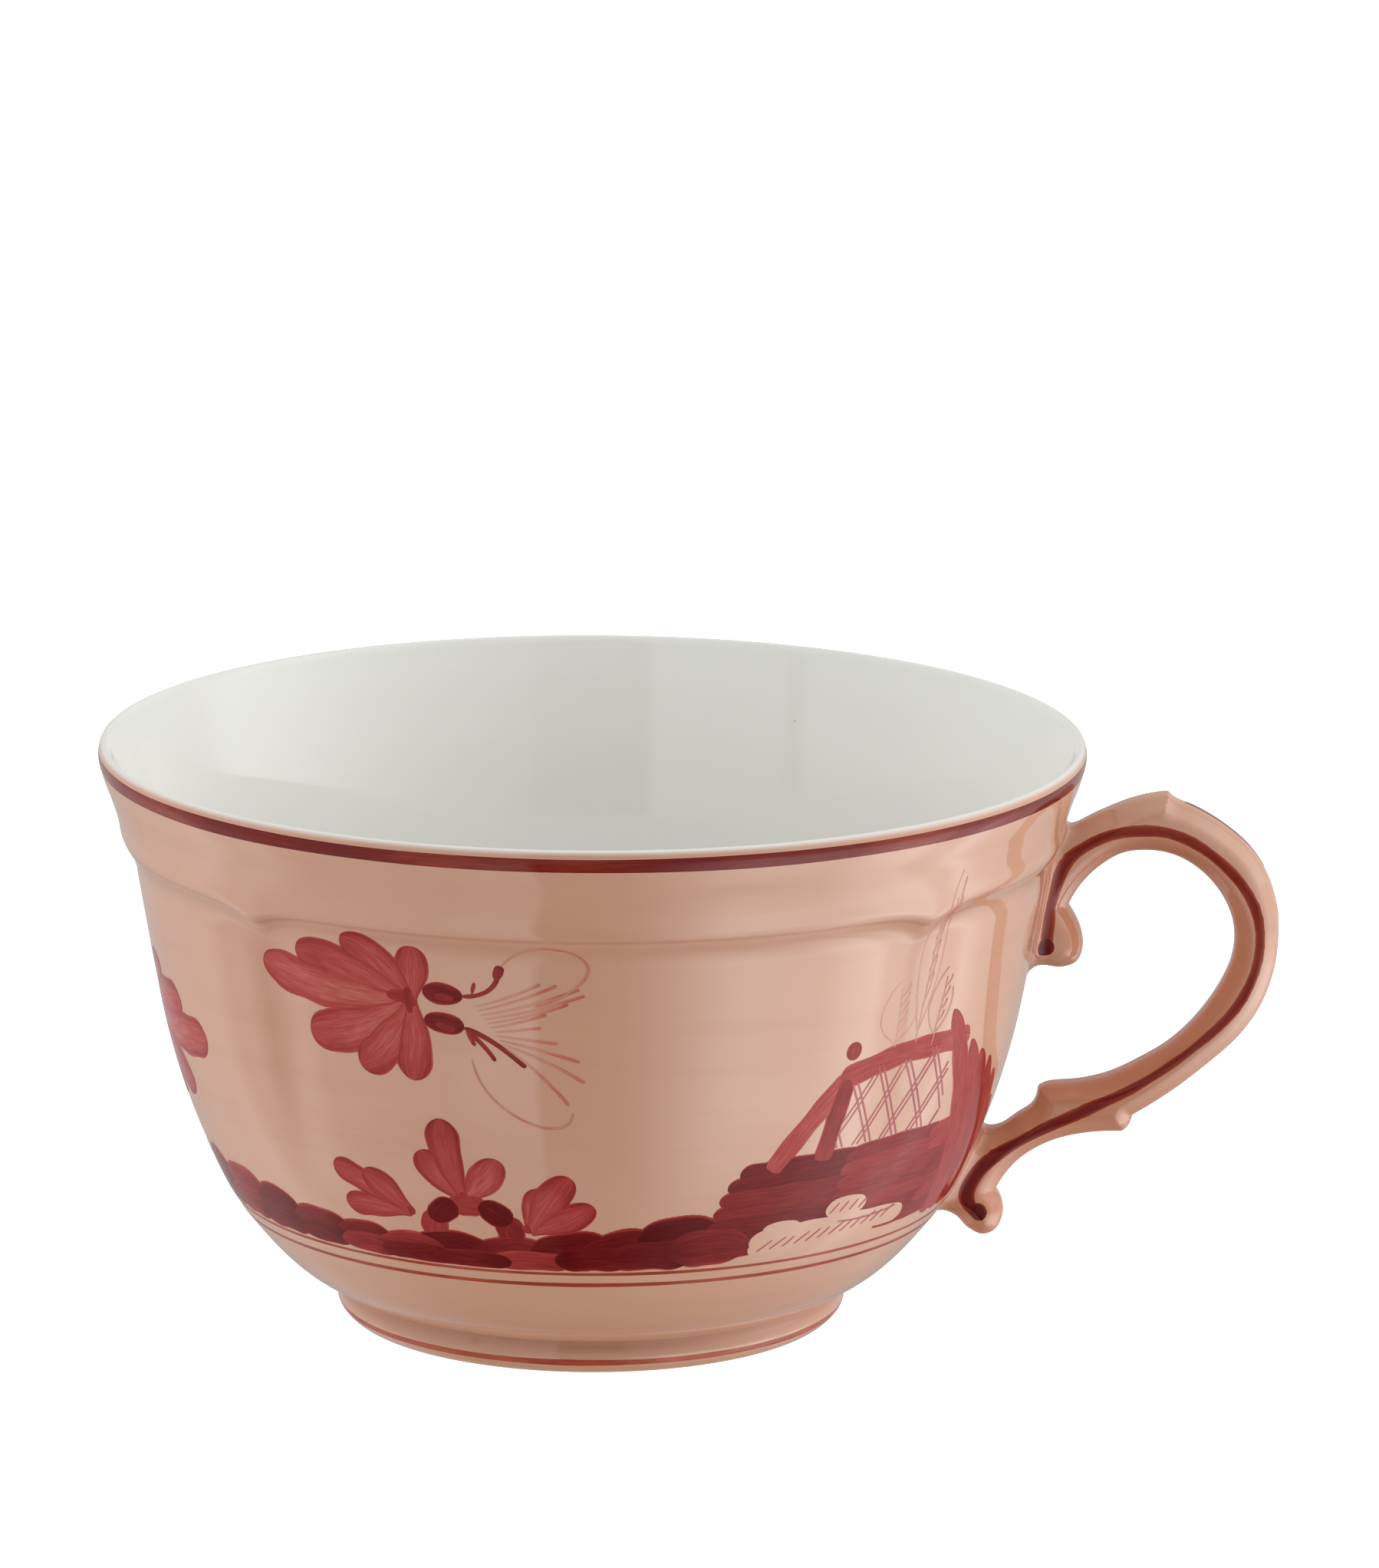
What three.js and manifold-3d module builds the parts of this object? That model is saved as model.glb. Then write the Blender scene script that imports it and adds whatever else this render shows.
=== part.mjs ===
// A porcelain teacup: a lobed bowl on a turned foot ring, with a cast scroll handle luted on with slip.
// Millimetres, +Z up. The cup stands on z = 0 and the handle reaches out along +X.
// The origin is the middle of the outline seen from above, so the bowl's own axis lies at CUP_AXIS_X.
import * as THREE from "three";
import { mergeVertices } from "three/addons/utils/BufferGeometryUtils.js";
import Module from "manifold-3d";

const RIM_RADIUS = 49; // widest point of the lip
const RIM_HEIGHT = 58.6;
const HANDLE_REACH = 68.2; // from the bowl's axis to the outside of the handle
const HANDLE_THICKNESS = 6.4;
const FOOT_RADIUS = 25.4;
const FOOT_HEIGHT = 3.6;
const LUTING_GAP = 0.3; // clearance kept between two pieces that bear on each other
const SLIP_THICKNESS = 0.7;

const CUP_AXIS_X = (RIM_RADIUS - HANDLE_REACH) / 2;
const BOWL_BOTTOM = FOOT_HEIGHT + LUTING_GAP;
const SEGMENTS = 96;

const LOBES = 4;
const VALLEY_DEPTH = 0.9; // how far the wall draws in between two lobes, just under the ledge
const VALLEY_WIDTH = THREE.MathUtils.degToRad(7);
const LEDGE_HEIGHT = 49;
const LEDGE_DIP = 1.5; // the ledge drops to a point at each valley
const DIP_WIDTH = THREE.MathUtils.degToRad(3.5);
const DIP_REACH = 5; // height over which the wall above and below follows the ledge
const VALLEY_BOTTOM = 14;

// Wall profiles at the middle of a lobe, as [radius, height].
const OUTER_WALL = [
  [FOOT_RADIUS - 0.4, BOWL_BOTTOM],
  [27.6, 5],
  [29.5, 6.2],
  [31.5, 8],
  [33.4, 10],
  [35.8, 13.2],
  [38.7, 19],
  [40.6, 24],
  [42.3, 30],
  [43.5, 36],
  [44.5, 41.5],
  [45.2, 45.5],
  [45.7, LEDGE_HEIGHT - 0.7],
  [46.7, LEDGE_HEIGHT + 0.4],
  [47.1, 51.4],
  [47.9, 53.6],
  [48.6, 55.5],
  [RIM_RADIUS, 57.2],
  [RIM_RADIUS - 0.1, 58.1],
];
const INNER_WALL = [
  [RIM_RADIUS - 0.4, RIM_HEIGHT],
  [RIM_RADIUS - 0.9, RIM_HEIGHT - 0.2],
  [47.2, 56.3],
  [45.8, 53],
  [44.1, 48],
  [42.6, 42],
  [41.1, 35],
  [39.2, 27.5],
  [36.6, 20],
  [33.2, 13.8],
  [29.2, 9.6],
  [24.5, 7.1],
  [18, 6.2],
  [0, 6],
];

const wasm = await Module();
wasm.setup();

const glaze = new THREE.MeshStandardMaterial({ color: 0xdcae96, roughness: 0.15 });
const slip = new THREE.MeshStandardMaterial({ color: 0xe4c2ae, roughness: 0.2 });

function solidFrom(geometry) {
  const bare = geometry.clone();
  bare.deleteAttribute("normal");
  bare.deleteAttribute("uv");
  const merged = mergeVertices(bare, 1e-3);
  const triangles = [];
  for (let i = 0; i < merged.index.count; i += 3) {
    const [a, b, c] = merged.index.array.slice(i, i + 3);
    if (a !== b && b !== c && c !== a) triangles.push(a, b, c);
  }
  return new wasm.Manifold(
    new wasm.Mesh({
      numProp: 3,
      vertProperties: merged.attributes.position.array,
      triVerts: new Uint32Array(triangles),
    }),
  );
}

function geometryFrom(solid) {
  const mesh = solid.getMesh();
  const geometry = new THREE.BufferGeometry();
  geometry.setAttribute("position", new THREE.BufferAttribute(mesh.vertProperties, 3));
  geometry.setIndex(new THREE.BufferAttribute(mesh.triVerts, 1));
  geometry.computeVertexNormals();
  return geometry;
}

// A body of revolution about the bowl's axis. The profile runs from the bottom outside up and back in.
function revolved(profile) {
  const points = profile.map(([radius, height]) => new THREE.Vector2(radius, height));
  const geometry = new THREE.LatheGeometry(points, SEGMENTS, 0);
  geometry.rotateX(Math.PI / 2);
  geometry.rotateZ(Math.PI / 2);
  return geometry;
}

// Angle from the nearest valley between two lobes.
function fromValley(angle) {
  const pitch = (2 * Math.PI) / LOBES;
  const turn = THREE.MathUtils.euclideanModulo(angle, pitch);
  return Math.abs(turn - pitch / 2);
}

// Moves the outside wall in at the valleys and pulls the ledge down to a point there.
function moulded(geometry) {
  const position = geometry.attributes.position;
  for (let i = 0; i < position.count; i += 1) {
    const x = position.getX(i);
    const y = position.getY(i);
    const z = position.getZ(i);
    const radius = Math.hypot(x, y);
    const outside = radius > wallRadius(INNER_WALL, z) + 1;
    if (!outside || z <= VALLEY_BOTTOM) continue;
    const away = fromValley(Math.atan2(y, x));
    const below = THREE.MathUtils.smoothstep(z, VALLEY_BOTTOM, 40);
    const underLedge = 1 - THREE.MathUtils.smoothstep(z, LEDGE_HEIGHT - 0.5, LEDGE_HEIGHT + 1);
    const depth = VALLEY_DEPTH * below * underLedge * Math.exp(-away / VALLEY_WIDTH);
    const near = Math.max(0, 1 - Math.abs(z - LEDGE_HEIGHT) / DIP_REACH);
    const dip = LEDGE_DIP * near * Math.exp(-away / DIP_WIDTH);
    const shrink = (radius - depth) / radius;
    position.setXYZ(i, x * shrink, y * shrink, z - dip);
  }
  return geometry;
}

function wallRadius(wall, height) {
  const rows = [...wall].sort((a, b) => a[1] - b[1]);
  for (let i = 1; i < rows.length; i += 1) {
    const [lowRadius, low] = rows[i - 1];
    const [highRadius, high] = rows[i];
    if (height <= high) {
      return THREE.MathUtils.mapLinear(Math.max(height, low), low, high, lowRadius, highRadius);
    }
  }
  return rows.at(-1)[0];
}

function bowl() {
  return moulded(revolved([[0, BOWL_BOTTOM], ...OUTER_WALL, ...INNER_WALL]));
}

// The ring the cup stands on: a flat, unglazed bearing face between two rounded edges.
function footRing() {
  const inner = FOOT_RADIUS - 3.4;
  return revolved([
    [inner + 0.7, 0],
    [FOOT_RADIUS - 1.3, 0],
    [FOOT_RADIUS - 0.5, 0.5],
    [FOOT_RADIUS, 1.5],
    [FOOT_RADIUS, 2.5],
    [FOOT_RADIUS - 0.4, FOOT_HEIGHT],
    [inner - 0.6, FOOT_HEIGHT],
    [inner, 1.2],
    [inner + 0.7, 0],
  ]);
}

// The space within a given distance of the bowl's outside wall, as a solid of revolution.
function bowlSwollenBy(offset) {
  const rows = OUTER_WALL.map(([radius, height]) => [radius + offset, height]);
  return solidFrom(revolved([[0, BOWL_BOTTOM], ...rows, [RIM_RADIUS + offset, 60], [0, 60]]));
}

// The handle is a band that narrows and swells. Each rib crosses it from the outside edge to the
// inside edge, as [outside x, z, inside x, z] from the bowl's axis, from the upper scroll to the lower.
// The first and last ribs start behind the wall, and the handle is trimmed there to its bed of slip.
const HANDLE_RIBS = [
  [42.4, 36.9, 45.6, 35.6],
  [42.4, 37.6, 47.8, 35.9],
  [42.4, 38.8, 48.9, 37.7],
  [42.6, 40.4, 48.5, 40],
  [43, 42.8, 47.5, 42.2],
  [43.6, 46.6, 48.4, 44],
  [45.6, 49.2, 50.3, 45.9],
  [48.4, 50.7, 52.2, 47],
  [52, 52.3, 54.1, 47.5],
  [57.3, 53.5, 56.2, 47.5], // thumb spur
  [59.2, 52, 58.1, 47],
  [62.5, 50.1, 60, 46],
  [65.2, 47.5, 62, 44.1],
  [67.2, 43.9, 63.4, 41.6],
  [HANDLE_REACH, 39.3, 64, 39],
  [67.8, 35, 63.5, 36],
  [66.1, 30.8, 62.2, 33.3],
  [63.2, 27.2, 60, 30.4],
  [59.4, 23.9, 57.2, 28],
  [54.8, 20.9, 53.4, 25.8],
  [52.9, 18.8, 49.8, 24.5], // lower outside spur
  [49.4, 18.5, 46.8, 24],
  [47.2, 18, 44.8, 23.4], // inside spur
  [45.2, 17.3, 43.7, 21.4],
  [43, 16, 41, 19.4],
  [41.4, 14.4, 37.6, 18],
  [40.5, 12.7, 34.6, 14.2],
  [41.2, 10.7, 33, 11.8],
  [40.3, 8.5, 32.6, 10.6],
  [38.4, 8.1, 32.6, 9.9],
];

// Corners of the band's section: how far in from an edge, and how far from the middle plane.
const EDGE_HALF = 1.6;
const BEVEL = 1.3;

function sectionAcross(outside, inside) {
  const width = outside.distanceTo(inside);
  const bevel = Math.min(BEVEL, 0.3 * width);
  const half = HANDLE_THICKNESS / 2;
  const corners = [
    [0, -EDGE_HALF],
    [bevel, -half],
    [width - bevel, -half],
    [width, -EDGE_HALF],
    [width, EDGE_HALF],
    [width - bevel, half],
    [bevel, half],
    [0, EDGE_HALF],
  ];
  return corners.map(([along, y]) => {
    const point = outside.clone().lerp(inside, along / width);
    return [point.x, y, point.z];
  });
}

function smoothEdge(edge, steps) {
  return new THREE.CatmullRomCurve3(edge, false, "catmullrom", 0.5).getPoints(steps);
}

function handleBand() {
  const steps = 2 * (HANDLE_RIBS.length - 1);
  const outside = smoothEdge(HANDLE_RIBS.map(([x, z]) => new THREE.Vector3(x, 0, z)), steps);
  const inside = smoothEdge(HANDLE_RIBS.map(([, , x, z]) => new THREE.Vector3(x, 0, z)), steps);
  const rings = outside.map((point, i) => sectionAcross(point, inside[i]));
  const sides = rings[0].length;
  const faces = [];
  for (let i = 1; i < rings.length; i += 1) {
    for (let j = 0; j < sides; j += 1) {
      const near = (i - 1) * sides;
      const far = i * sides;
      const next = (j + 1) % sides;
      faces.push(near + j, near + next, far + next, near + j, far + next, far + j);
    }
  }
  const last = (rings.length - 1) * sides;
  for (let j = 2; j < sides; j += 1) {
    faces.push(0, j, j - 1, last, last + j - 1, last + j);
  }
  const geometry = new THREE.BufferGeometry();
  geometry.setAttribute("position", new THREE.Float32BufferAttribute(rings.flat(2), 3));
  geometry.setIndex(faces);
  return geometry;
}

function handle() {
  const clearance = 2 * LUTING_GAP + SLIP_THICKNESS;
  return geometryFrom(solidFrom(handleBand()).subtract(bowlSwollenBy(clearance)));
}

// A pad of slip between the wall and the handle's back, as an oval seen from the side it faces.
function slipPad(height, halfHeight) {
  const oval = new THREE.Shape();
  oval.absellipse(0, height, HANDLE_THICKNESS / 2 + 1, halfHeight, 0, 2 * Math.PI);
  const block = new THREE.ExtrudeGeometry(oval, { depth: 30, curveSegments: 20, bevelEnabled: false });
  block.rotateX(Math.PI / 2);
  block.rotateZ(Math.PI / 2);
  block.translate(25, 0, 0);
  const layer = bowlSwollenBy(LUTING_GAP + SLIP_THICKNESS).subtract(bowlSwollenBy(LUTING_GAP));
  return geometryFrom(solidFrom(block).intersect(layer));
}

const cup = new THREE.Group();

function add(name, geometry, material) {
  const mesh = new THREE.Mesh(geometry, material);
  mesh.name = name;
  mesh.position.x = CUP_AXIS_X;
  cup.add(mesh);
}

add("bowl", bowl(), glaze);
add("foot_ring", footRing(), glaze);
add("handle", handle(), glaze);
add("upper_slip_joint", slipPad(43.2, 7.4), slip);
add("lower_slip_joint", slipPad(14.8, 5.2), slip);

export default cup;
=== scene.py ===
"""A hand-painted porcelain teacup around its CAD frame: bowl, foot ring and scroll handle as fine
glazed meshes, with the crimson enamel painting laid on them as thin brush strokes."""

import bpy
import math
import random

import numpy as np
from mathutils import Matrix, Vector


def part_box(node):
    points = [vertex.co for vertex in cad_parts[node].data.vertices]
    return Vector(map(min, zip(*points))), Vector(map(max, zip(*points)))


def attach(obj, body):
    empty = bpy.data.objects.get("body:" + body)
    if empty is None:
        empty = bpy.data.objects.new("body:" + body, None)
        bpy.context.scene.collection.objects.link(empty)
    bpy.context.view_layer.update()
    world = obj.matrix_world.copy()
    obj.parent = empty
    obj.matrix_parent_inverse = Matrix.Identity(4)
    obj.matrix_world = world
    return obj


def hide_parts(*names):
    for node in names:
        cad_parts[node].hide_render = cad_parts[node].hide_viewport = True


MM = 0.001
BODY = "root"

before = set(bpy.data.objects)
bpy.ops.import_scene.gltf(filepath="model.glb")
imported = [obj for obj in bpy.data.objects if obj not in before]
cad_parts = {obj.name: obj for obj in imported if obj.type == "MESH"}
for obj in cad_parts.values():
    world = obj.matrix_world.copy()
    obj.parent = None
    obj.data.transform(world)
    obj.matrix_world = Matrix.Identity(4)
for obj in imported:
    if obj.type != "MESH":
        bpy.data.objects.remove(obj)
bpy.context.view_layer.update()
low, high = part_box("bowl")
AXIS = Vector(((low.x + high.x) / 2, (low.y + high.y) / 2, 0))
RIM_RADIUS = (high.x - low.x) / 2 / MM
RIM_HEIGHT = high.z / MM
FOOT_RADIUS = (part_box("foot_ring")[1].x - AXIS.x) / MM
HANDLE_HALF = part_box("handle")[1].y / MM

# ---- camera, stage and light


def add_object(name, data):
    new = bpy.data.objects.new(name, data)
    bpy.context.scene.collection.objects.link(new)
    return new


FOCAL_LENGTH = 259.4
CAMERA_SPOT = Vector((AXIS.x, -0.96125, 0.27567))
PITCH, YAW, ROLL = (math.radians(angle) for angle in (-12.99, 0.573, 0.32))


def add_camera():
    """A long lens 1 m away and 16 degrees above the foot, aimed just under the rim."""
    data = bpy.data.cameras.new("camera")
    data.sensor_fit = "HORIZONTAL"
    data.sensor_width = 36
    data.lens = FOCAL_LENGTH
    camera = add_object("camera", data)
    aim = Matrix.Rotation(-YAW, 4, "Z") @ Matrix.Rotation(math.pi / 2 + PITCH, 4, "X")
    camera.matrix_world = Matrix.Translation(CAMERA_SPOT) @ aim @ Matrix.Rotation(ROLL, 4, "Z")
    bpy.context.scene.camera = camera


# The studio as radiance over azimuth, in degrees: 0 is behind the camera and positive lies to its right.
# The first four are what the glaze mirrors, the last three the softer light that fills the scene.
STUDIO = {
    "sweep": [
        (-180, 0.4), (-150, 0.55), (-128, 0.9), (-116, 1.3), (-106, 0.95), (-96, 1.15), (-86, 0.75),
        (-66, 0.9), (-42, 0.8), (-34, 1.2), (-16.2, 1.3), (-14.8, 0.03), (0, 0.05), (8, 0.3), (14, 0.6),
        (24, 1.6), (36, 3.0), (44, 3.35), (68, 3.0), (80, 3.9), (92, 3.9), (98, 2.6), (104, 2.4),
        (110, 3.0), (120, 1.5), (134, 0.75), (160, 0.4),
    ],
    "under": [
        (-180, 0.05), (-105, 0.1), (-70, 0.7), (-34, 1.0), (-16.2, 1.2), (-14.8, 0.03), (8, 0.3),
        (24, 1.5), (44, 3.0), (90, 3.4), (134, 0.75), (180, 0.1),
    ],
    "table": [
        (-180, 0.5), (-100, 0.8), (-16, 0.75), (-14, 0.5), (14, 0.5), (40, 0.9), (90, 1.5), (130, 0.8),
        (180, 0.5),
    ],
    "room": [
        (-180, 0.5), (-125, 0.8), (-62, 1.0), (-58, 0.95), (-57, 0.4), (-53, 0.4), (-52, 0.9),
        (-16.2, 0.9), (-14.8, 0.02), (14.8, 0.05), (16.2, 0.35), (36, 0.7), (52, 1.0), (70, 1.6),
        (84, 2.1), (104, 2.1), (117, 0.9), (180, 0.5),
    ],
    "low_fill": [
        (-180, 0.7), (-140, 1.45), (-90, 1.55), (-60, 1.1), (-40, 0.62), (15, 0.55), (36, 0.74),
        (60, 1.25), (92, 2.4), (125, 1.3), (150, 0.9), (180, 0.7),
    ],
    "side_fill": [
        (-180, 0.7), (-140, 1.4), (-90, 1.5), (-60, 1.05), (-40, 0.65), (5, 0.6), (40, 0.76), (65, 1.3),
        (92, 2.4), (125, 1.3), (150, 0.9), (180, 0.7),
    ],
    "top_fill": [(-180, 0.6), (-140, 1.0), (-22, 0.92), (5, 0.85), (60, 1.05), (140, 1.2), (180, 0.6)],
}
# How those are stacked: elevation, which one, and its strength there.
MIRRORED = [
    (-86, "under", 0.02), (-62, "under", 0.28), (-47, "sweep", 0.68), (-36, "sweep", 1.0),
    (-22, "sweep", 0.9), (-12, "table", 1.0), (8, "table", 1.0), (10, "room", 1.0), (42, "room", 1.0),
    (60, "room", 0.7),
]
FILLING = [
    (-75, "low_fill", 0.6), (-55, "low_fill", 1.0), (-10, "low_fill", 1.0), (0, "side_fill", 1.0),
    (38, "side_fill", 1.0), (46, "top_fill", 1.0),
]
BRIGHTEST = 4


class Tree:
    """Short-hands for the node tree of a world or a material."""

    def __init__(self, owner):
        owner.use_nodes = True
        self.nodes, self.links = owner.node_tree.nodes, owner.node_tree.links

    def node(self, kind, inputs, **settings):
        """Adds a node with its settings, and a link or a plain value on each of the inputs given."""
        node = self.nodes.new(kind)
        for name, setting in settings.items():
            setattr(node, name, setting)
        for key, value in inputs.items():
            if isinstance(value, bpy.types.NodeSocket):
                self.links.new(value, node.inputs[key])
            else:
                node.inputs[key].default_value = value
        return node

    def math(self, operation, *values):
        return self.node("ShaderNodeMath", dict(enumerate(values)), operation=operation).outputs[0]

    def ramp(self, value, start, stop, at_start=0.0, at_stop=1.0, kind="SMOOTHSTEP"):
        """Goes from at_start to at_stop as the value goes from start to stop."""
        names = ("Value", "From Min", "From Max", "To Min", "To Max")
        inputs = dict(zip(names, (value, start, stop, at_start, at_stop)))
        return self.node("ShaderNodeMapRange", inputs, interpolation_type=kind).outputs[0]

    def colors(self, value, stops):
        """The colour for a value, from stops of position and colour."""
        node = self.node("ShaderNodeValToRGB", {0: value})
        elements = node.color_ramp.elements
        for position, _ in stops[1:-1]:
            elements.new(position)
        for element, (position, color) in zip(elements, stops):
            element.position, element.color = position, (*color, 1)
        return node.outputs[0]


class Studio(Tree):
    """World nodes that turn the tables above into light from every direction."""

    def __init__(self):
        self.world = bpy.data.worlds.new("studio")
        super().__init__(self.world)
        self.nodes.clear()
        direction = self.node("ShaderNodeTexCoord", {}).outputs["Generated"]
        axes = self.node("ShaderNodeSeparateXYZ", {0: direction}).outputs
        around = self.math("ARCTAN2", axes["X"], self.math("MULTIPLY", axes["Y"], -1))
        self.turn = self.ramp(around, -math.pi, math.pi, kind="LINEAR")
        self.rise = self.math("MULTIPLY", self.math("ARCSINE", axes["Z"]), 180 / math.pi)

    def band(self, stops, strength):
        """Radiance over azimuth from one table."""
        greys = [((azimuth + 180) / 360, [radiance / BRIGHTEST] * 3) for azimuth, radiance in stops]
        return self.math("MULTIPLY", self.colors(self.turn, greys), BRIGHTEST * strength)

    def stack(self, bands):
        """Blends bands over elevation."""
        elevation, name, strength = bands[0]
        total = self.band(STUDIO[name], strength)
        for next_elevation, name, strength in bands[1:]:
            factor = self.ramp(self.rise, elevation, next_elevation, kind="LINEAR")
            inputs = {0: factor, 2: total, 3: self.band(STUDIO[name], strength)}
            total, elevation = self.node("ShaderNodeMix", inputs).outputs[0], next_elevation
        return total

    def background(self, strength):
        inputs = {"Color": (1, 1, 1, 1), "Strength": strength}
        return self.node("ShaderNodeBackground", inputs).outputs[0]

    def choose(self, factor, first, second):
        return self.node("ShaderNodeMixShader", {0: factor, 1: first, 2: second}).outputs[0]


def add_world():
    """White to the camera, the studio's panels to the glaze, and its softer fill to everything else."""
    studio = Studio()
    path = studio.node("ShaderNodeLightPath", {}).outputs
    fill = studio.background(studio.stack(FILLING))
    mirrored = studio.background(studio.stack(MIRRORED))
    light = studio.choose(path["Is Glossy Ray"], fill, mirrored)
    seen = studio.choose(path["Is Camera Ray"], light, studio.background(1.0))
    studio.node("ShaderNodeOutputWorld", {"Surface": seen})
    bpy.context.scene.world = studio.world


def add_floor():
    """A wide pale floor that only the camera sees."""
    mesh = bpy.data.meshes.new("floor")
    size = 6
    corners = [(-size, -size, 0), (size, -size, 0), (size, size, 0), (-size, size, 0)]
    mesh.from_pydata(corners, [], [(0, 1, 2, 3)])
    floor = add_object("floor", mesh)
    material = bpy.data.materials.new("pale_floor")
    material.use_nodes = True
    inputs = material.node_tree.nodes["Principled BSDF"].inputs
    inputs["Base Color"].default_value = (0.8, 0.8, 0.8, 1)
    inputs["Roughness"].default_value = 0.9
    inputs["Emission Color"].default_value = (1, 1, 1, 1)
    inputs["Emission Strength"].default_value = 0.85
    mesh.materials.append(material)
    floor.visible_diffuse = floor.visible_glossy = floor.visible_shadow = False


# ---- the cup's wall

# Lengths are in mm and angles in radians. The valleys lie between the lobes.
LOBES = 4
VALLEY_DEPTH = 0.9
VALLEY_WIDTH = math.radians(7)
VALLEY_ROUND = math.radians(1.6)
VALLEY_START, VALLEY_FULL = 14, 40
LEDGE = RIM_HEIGHT - 9.6
LEDGE_DIP = 1.5
DIP_WIDTH = math.radians(3.2)
DIP_REACH = 5
# How wide the painted shade in each valley spreads.
VALLEY_SHADE_WIDTH = math.radians(2.6)
FOOT_TOP = 3.6
CAP_RADIUS = 0.4
# Distances past the lip that stand for the underside, as plain outside wall, and the floor inside.
UNDERSIDE = [-12, -9, -6, -3]
FLOOR = 200

# Outside of the wall at the middle of a lobe, as [radius, height], from the crease above the foot.
OUTER_WALL = [
    (FOOT_RADIUS - 0.5, FOOT_TOP - 0.2), (26.2, 4.1), (27.9, 5), (29.7, 6.2), (31.5, 7.8), (33.4, 9.9),
    (35.8, 13.1), (38.7, 19), (40.6, 24), (42.3, 30), (43.5, 36), (44.5, 41.5), (45.1, 45),
    (45.38, 46.6), (45.85, 47.9), (46.4, LEDGE - 0.25), (46.78, LEDGE + 0.55), (47.15, 51.4),
    (47.85, 53.6), (48.55, 55.5), (RIM_RADIUS - 0.03, 57.2), (RIM_RADIUS - 0.06, 57.9),
    (RIM_RADIUS - 0.22, RIM_HEIGHT - 0.22), (RIM_RADIUS - 0.55, RIM_HEIGHT),
]
INNER_WALL = [
    (RIM_RADIUS - 0.55, RIM_HEIGHT), (RIM_RADIUS - 0.9, RIM_HEIGHT - 0.2), (47.6, 57.3), (46.6, 55),
    (45.4, 51.8), (44.1, 48), (42.6, 42), (41.1, 35), (39.2, 27.5), (36.6, 20), (33.2, 13.8),
    (29.2, 9.6), (24.5, 7.1), (18, 6.2), (9, 6.02), (0, 6),
]


def lengths_along(points):
    """Distance along a line of points, from 0 at its first."""
    return np.concatenate([[0], np.cumsum(np.linalg.norm(np.diff(points, axis=0), axis=1))])


def spline(points, step):
    """A smooth open curve through the points, sampled about every `step`, as an array."""
    p = np.array(points, float)
    chord = np.sqrt(np.linalg.norm(np.diff(p, axis=0), axis=1))
    slopes = np.zeros_like(p)
    left, right = chord[:-1, None], chord[1:, None]
    back, ahead = np.diff(p, axis=0)[:-1] / left, np.diff(p, axis=0)[1:] / right
    slopes[1:-1] = (back * right + ahead * left) / (left + right)
    slopes[0] = 2 * (p[1] - p[0]) / chord[0] - slopes[1]
    slopes[-1] = 2 * (p[-1] - p[-2]) / chord[-1] - slopes[-2]
    out = []
    for i, width in enumerate(chord):
        count = max(2, math.ceil(np.linalg.norm(p[i + 1] - p[i]) / step))
        t = (np.arange(count) / count)[:, None]
        out.append(
            (2 * t**3 - 3 * t**2 + 1) * p[i]
            + (t**3 - 2 * t**2 + t) * width * slopes[i]
            + (3 * t**2 - 2 * t**3) * p[i + 1]
            + (t**3 - t**2) * width * slopes[i + 1]
        )
    return np.vstack(out + [p[-1:]])


WALL_ROWS = spline(OUTER_WALL, 0.45)
WALL_LENGTH = lengths_along(WALL_ROWS)
# The wall below the turn of its lip, where each height comes once.
BELOW_LIP = slice(0, -4)
WALL_RADII, WALL_HEIGHTS = WALL_ROWS[BELOW_LIP].T


def wall_radius(height):
    """Radius of the plain outside wall at a height."""
    return np.interp(height, WALL_HEIGHTS, WALL_RADII)


def wall_length(height):
    """Distance up the outside wall at a height."""
    return float(np.interp(height, WALL_HEIGHTS, WALL_LENGTH[BELOW_LIP]))


def smoothstep(value, low_edge, high_edge):
    """Rises smoothly from 0 at the low edge to 1 at the high edge."""
    t = np.clip((value - low_edge) / (high_edge - low_edge), 0, 1)
    return t * t * (3 - 2 * t)


def from_valley(angle):
    """The angle between a point and the middle of its nearest valley."""
    pitch = 2 * math.pi / LOBES
    return np.abs(np.mod(angle, pitch) - pitch / 2)


def moulded(angle, radius, height):
    """Applies the four lobes and the bracketed ledge to points of the plain outside wall."""
    away = np.sqrt(from_valley(angle) ** 2 + VALLEY_ROUND**2) - VALLEY_ROUND
    below = 1 - smoothstep(height, LEDGE - 0.5, LEDGE + 1)
    below = smoothstep(height, VALLEY_START, VALLEY_FULL) * below
    depth = VALLEY_DEPTH * below * np.exp(-away / VALLEY_WIDTH)
    near = smoothstep(1 - np.abs(height - LEDGE) / DIP_REACH, 0, 1)
    dip = LEDGE_DIP * near * np.exp(-away / DIP_WIDTH)
    return radius - depth, height - dip


def to_space(angle, radius, height):
    """Cylinder coordinates in mm about the cup's axis to metres in the frame."""
    x = AXIS.x + radius * np.cos(angle) * MM
    y = AXIS.y + radius * np.sin(angle) * MM
    return np.stack(np.broadcast_arrays(x, y, height * MM), -1)


def lifted(points, normal, lift):
    """Points raised by `lift` mm along their normals, and the normals at unit length."""
    normal = normal / np.linalg.norm(normal, axis=-1, keepdims=True)
    return points + normal * np.asarray(lift)[..., None] * MM, normal


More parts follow.
